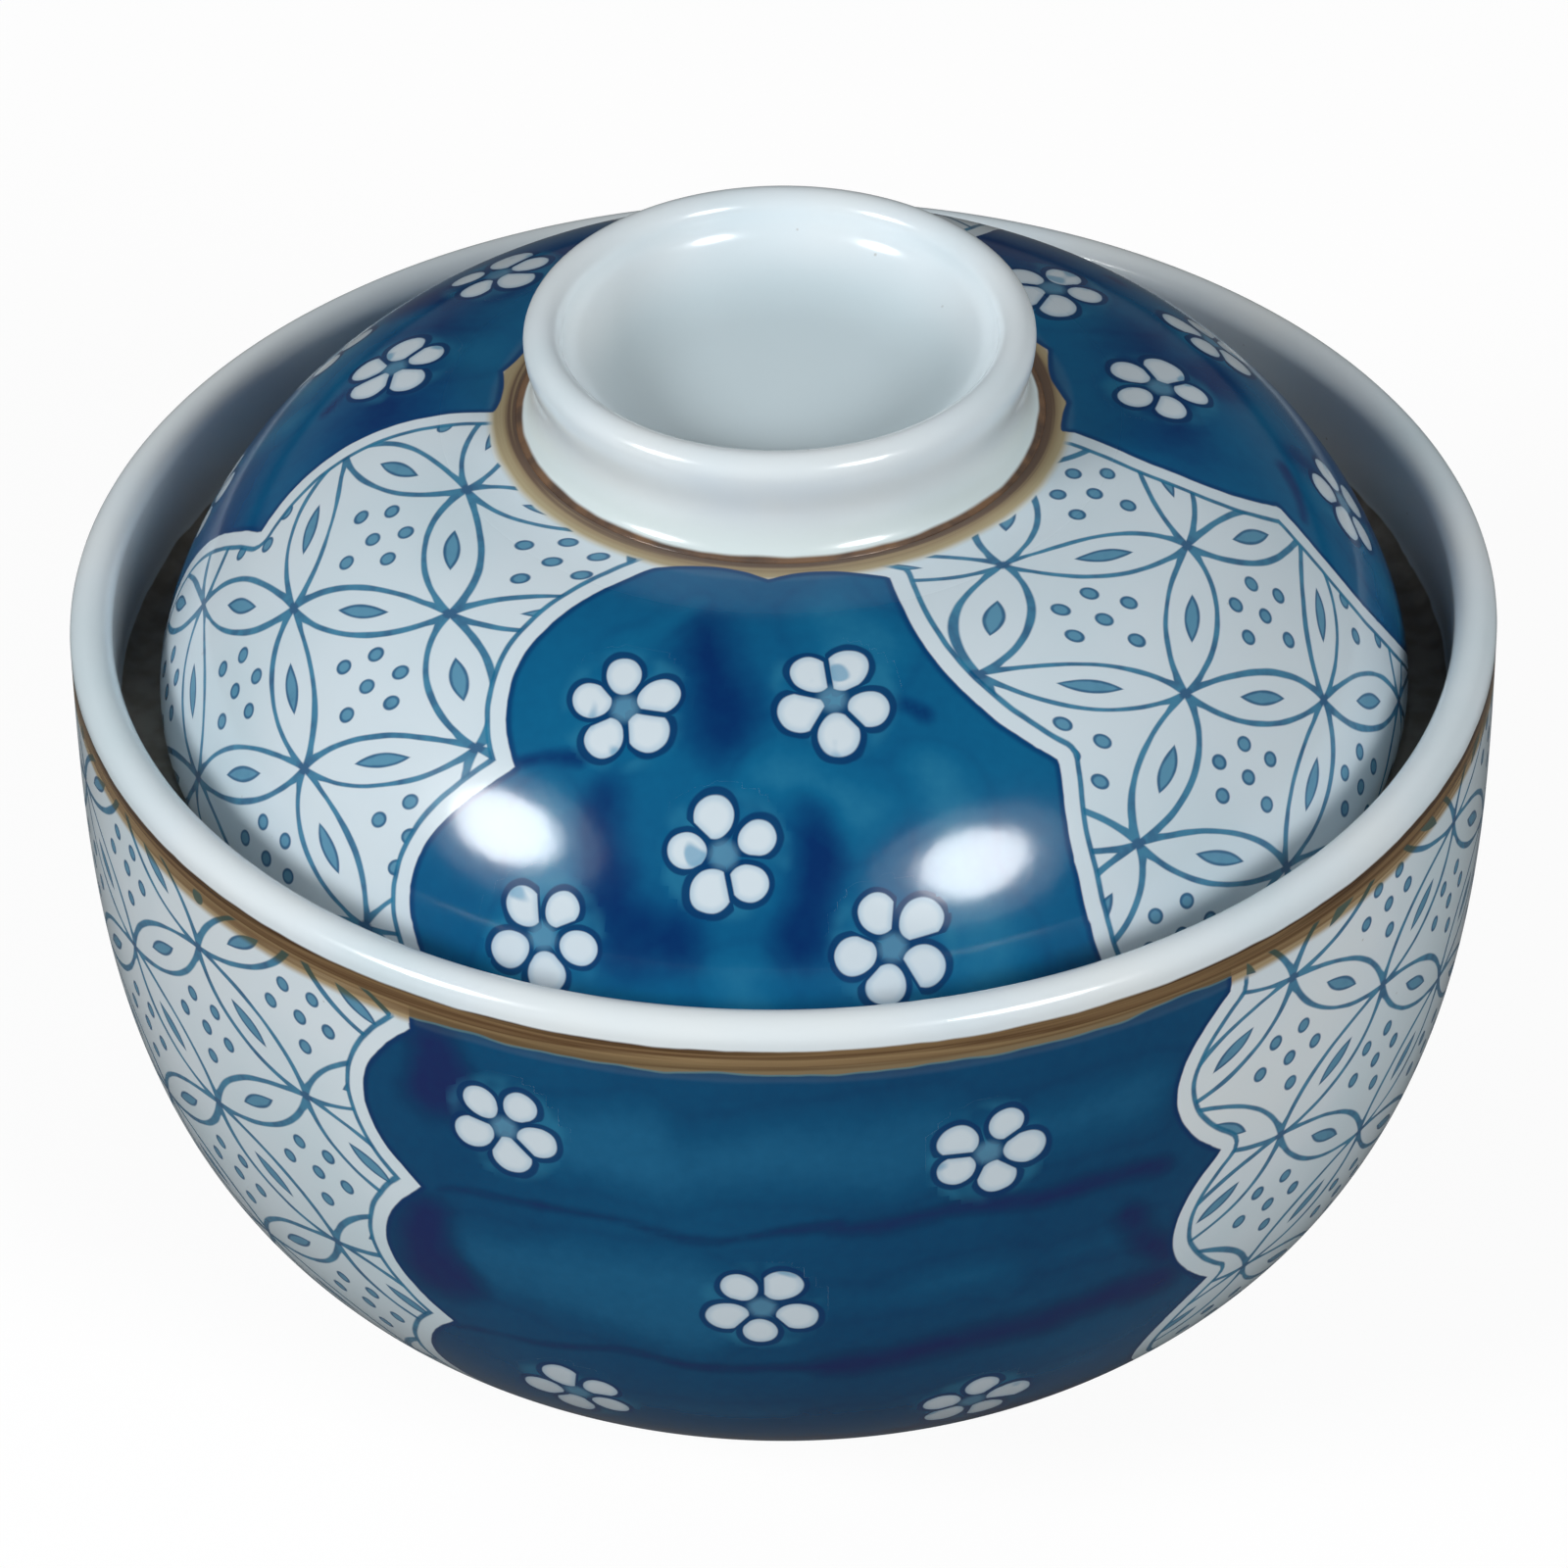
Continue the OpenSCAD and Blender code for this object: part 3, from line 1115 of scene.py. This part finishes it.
print("nodes in the cup's glaze:", len(cup_glaze.node_tree.nodes))

# %% [markdown]
# ## The white pieces
# The grip is plain white, but a line of iron brown runs round the foot of its cove, where the band of the
# lid begins. The foot ring is glazed too, apart from its standing edge: it is wiped clean before
# firing, or the cup would melt on to the kiln shelf, so the bare clay shows there, matte and warmer.


# %% Glazes of the grip and the foot ring
def grip_glaze_material():
    material, paper, place = new_glaze("grip_glaze")
    along = written_on(paper, "along")
    shake = mottle(place, 6, 2.0) - 0.5
    line = 1 - (along + 0.5 * shake).rise(0.4, 0.7)
    streak = mottle(place, 2.6, 3.0)
    brown = over(colour(112, 78, 46), colour(70, 44, 24), streak.rise(0.35, 0.65))
    base = over(bare_glaze(place), colour(206, 222, 222), 0.6 * (1 - (along - 1.0).rise(0.2, 3.0)))
    base = over(base, GLAZE_DISH, 0.8 * along.rise(11.5, 17.0))
    base = over(base, brown, line * 0.95)
    fire(paper, place, base, 0.12 + 0.06 * mottle(place, 11, 3.0))
    return material


def foot_glaze_material():
    material, paper, place = new_glaze("foot_glaze")
    height = written_on(paper, "along")
    bare = 1 - (height + 0.5 * (mottle(place, 3, 2.0) - 0.5)).rise(0.7, 1.0)
    clay = over(colour(224, 216, 202), colour(200, 188, 170), mottle(place, 1.4, 4.0).rise(0.35, 0.7))
    base = over(bare_glaze(place), clay, bare)
    fire(paper, place, base, 0.15 + 0.5 * bare)
    return material


grip_glaze = grip_glaze_material()
foot_glaze = foot_glaze_material()
print("white glazes:", grip_glaze.name, foot_glaze.name)

# %% [markdown]
# ## Throwing the pieces
# Each half section becomes a short-lived mesh of points and edges, the wheel's modifier turns it, and the
# result is copied into a plain mesh, because the finished piece should carry no live modifier. The
# volume is measured afterwards: it is positive only if all faces point outwards.


# %% Throw one piece
MM3_IN_CM3 = 1000


def throw(name, section, along, glaze, unevenness, seed):
    profile = bpy.data.meshes.new(name + "_half_section")
    points = [(radius * MM, 0.0, height * MM) for radius, height in section]
    profile.from_pydata(points, [(i, i + 1) for i in range(len(points) - 1)], [])
    written = profile.attributes.new("along", "FLOAT", "POINT")
    written.data.foreach_set("value", along.astype(np.float32))
    thrower = bpy.data.objects.new(name + "_on_the_wheel", profile)
    show(thrower)
    modifier = thrower.modifiers.new("wheel", "NODES")
    modifier.node_group = wheel
    modifier[wheel_inputs["Steps of the turn"]] = TURN_STEPS
    modifier[wheel_inputs["Unevenness"]] = unevenness
    modifier[wheel_inputs["Seed"]] = seed
    modifier[wheel_inputs["Glaze"]] = glaze
    depsgraph = bpy.context.evaluated_depsgraph_get()
    mesh = bpy.data.meshes.new_from_object(
        thrower.evaluated_get(depsgraph), preserve_all_data_layers=True, depsgraph=depsgraph
    )
    mesh.name = name
    piece = bpy.data.objects.new(name, mesh)
    show(piece)
    bpy.data.objects.remove(thrower)
    mesh.calc_loop_triangles()
    corners = np.zeros(len(mesh.loop_triangles) * 3, np.int32)
    mesh.loop_triangles.foreach_get("vertices", corners)
    spots, _ = points_of(piece)
    a, b, c = (spots[corners.reshape(-1, 3)[:, i]] for i in range(3))
    volume = np.einsum("ij,ij->i", a, np.cross(b, c)).sum() / 6 / MM3_IN_CM3
    print(name, "triangles:", len(mesh.loop_triangles), "volume in cm3:", round(volume, 2))
    return piece


cup_shell = throw("cup_shell", cup_section, cup_along, cup_glaze, 0.001, 1.0)
foot = throw("foot", foot_section, foot_along, foot_glaze, 0.0, 2.0)
lid_shell = throw("lid_shell", lid_section, lid_along, lid_glaze, 0.001, 3.0)
grip = throw("grip", grip_section, grip_along, grip_glaze, 0.001, 4.0)
lay_out(cup_shell, cup_section, cup_along, cup_layout)
lay_out(lid_shell, lid_section, lid_along, lid_layout)

# %% [markdown]
# The finished pieces take the places of the solid model's nodes. The cup and its foot ring ride on the
# body that stands on the table, and the dome and its grip ride on the body that lifts off.

# %% Put the pieces on their bodies
for piece, body, node, slot in (
    (cup_shell, "cup", "cup_body", "painted_glaze"),
    (foot, "cup", "foot_ring", "white_glaze"),
    (lid_shell, "lid", "lid_dome", "painted_glaze"),
    (grip, "lid", "ring_grip", "white_glaze"),
):
    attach(piece, body)
    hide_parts(node)

# %% [markdown]
# ## The studio
# The cup stands on a pale table, seen from a little above through a long lens. Two soft boxes stand in
# front, left and right, each with a wider and dimmer sheet round it: they give the pairs of bright
# windows with soft borders on the lid and in the dish. Two weak lamps behind the cup and two low beside
# it fill in its back and its sides, and are left out of reflections. The table and the room are white to
# the camera but dim in reflections, which keeps the blue deep under its gloss. The table is only mostly
# white to the camera: the rest is its own shading, so the cup's shadow stays.

# %% Camera
camera = bpy.data.objects.new("camera", bpy.data.cameras.new("camera"))
camera.data.sensor_width = 36.0
camera.data.lens = 180.1
camera.location = (-0.000105, -0.4469, 0.3776)
looking_down = 37.14
leaning = -0.75
tilted = Matrix.Rotation(math.radians(90 - looking_down), 3, "X")
camera.rotation_euler = (tilted @ Matrix.Rotation(math.radians(leaning), 3, "Z")).to_euler()
show(camera)
bpy.context.scene.camera = camera
print("camera at", [round(v, 3) for v in camera.location])


# %% Soft boxes
def soft_box(name, direction, distance, size, power, mirrored=True):
    lamp = bpy.data.lights.new(name, "AREA")
    lamp.shape = "ELLIPSE"
    lamp.size = size[0]
    lamp.size_y = size[1]
    lamp.energy = power
    stand = bpy.data.objects.new(name, lamp)
    aim = Vector(direction).normalized()
    stand.location = aim * distance + Vector((0, 0, rim_z * MM))
    stand.rotation_mode = "QUATERNION"
    stand.rotation_quaternion = aim.to_track_quat("Z", "Y")
    stand.visible_camera = False
    stand.visible_glossy = mirrored
    show(stand)


LEFT = (-0.72, -0.49, 0.49)
RIGHT = (0.51, -0.71, 0.49)
WINDOW = (0.3, 0.26)
GLOW = (0.62, 0.5)
BACK = (0.5, 0.5)
SIDE = (0.4, 0.3)
soft_box("soft_box_left", LEFT, 0.9, WINDOW, 4.3)
soft_box("soft_box_right", RIGHT, 0.9, WINDOW, 3.7)
soft_box("glow_left", LEFT, 1.0, GLOW, 1.1)
soft_box("glow_right", RIGHT, 1.0, GLOW, 1.1)
soft_box("fill_left", (-0.62, 0.6, 0.5), 1.0, BACK, 1.4, mirrored=False)
soft_box("fill_right", (0.62, 0.6, 0.5), 1.0, BACK, 1.4, mirrored=False)
soft_box("side_left", (-0.95, -0.1, 0.15), 1.0, SIDE, 0.6, mirrored=False)
soft_box("side_right", (0.95, -0.1, 0.15), 1.0, SIDE, 0.4, mirrored=False)


# %% Table and room
def ray_kinds(paper):
    seen = paper.node("ShaderNodeLightPath", out="Is Camera Ray")
    return seen, seen.other("Is Glossy Ray").most(seen.other("Is Transmission Ray"))


table_mesh = bpy.data.meshes.new("table")
table_half = 12.0
under_foot = -0.05 * MM
white_to_camera = 0.72
dim_in_gloss = 0.6
corners = [(x * table_half, y * table_half, under_foot) for x, y in ((-1, -1), (1, -1), (1, 1), (-1, 1))]
table_mesh.from_pydata(corners, [], [(0, 1, 2, 3)])
table = bpy.data.objects.new("table", table_mesh)
show(table)
table_paint = bpy.data.materials.new("pale_table")
paper = blank_paper(table_paint)
seen, mirrored = ray_kinds(paper)
lit = paper.node("ShaderNodeBsdfDiffuse", None, {"Color": (0.32, 0.32, 0.32, 1)})
white = paper.node("ShaderNodeEmission", None, {"Color": (1, 1, 1, 1), "Strength": 1.28})
dark = paper.node("ShaderNodeBsdfDiffuse", None, {"Color": (0.02, 0.02, 0.02, 1)})
mixed = paper.node("ShaderNodeMixShader", None, {0: white_to_camera * seen, 1: lit, 2: white})
mixed = paper.node("ShaderNodeMixShader", None, {0: dim_in_gloss * mirrored, 1: mixed, 2: dark})
paper.node("ShaderNodeOutputMaterial", None, {"Surface": mixed}, None)
table_mesh.materials.append(table_paint)

room = bpy.data.worlds.new("room")
paper = blank_paper(room)
_, _, upward = paper.node("ShaderNodeTexCoord", out="Generated").split()
seen, mirrored = ray_kinds(paper)
white, ambient, wall, ceiling = (
    paper.node("ShaderNodeBackground", None, {"Color": (1, 1, 1, 1), "Strength": strength})
    for strength in (1.0, 0.05, 0.13, 0.07)
)
reflected = paper.node("ShaderNodeMixShader", None, {0: upward.rise(0.05, 0.3), 1: wall, 2: ceiling})
light = paper.node("ShaderNodeMixShader", None, {0: mirrored, 1: ambient, 2: reflected})
light = paper.node("ShaderNodeMixShader", None, {0: seen, 1: light, 2: white})
paper.node("ShaderNodeOutputWorld", None, {"Surface": light}, None)
bpy.context.scene.world = room
bpy.context.scene.view_settings.view_transform = "Standard"
print("table and room ready")
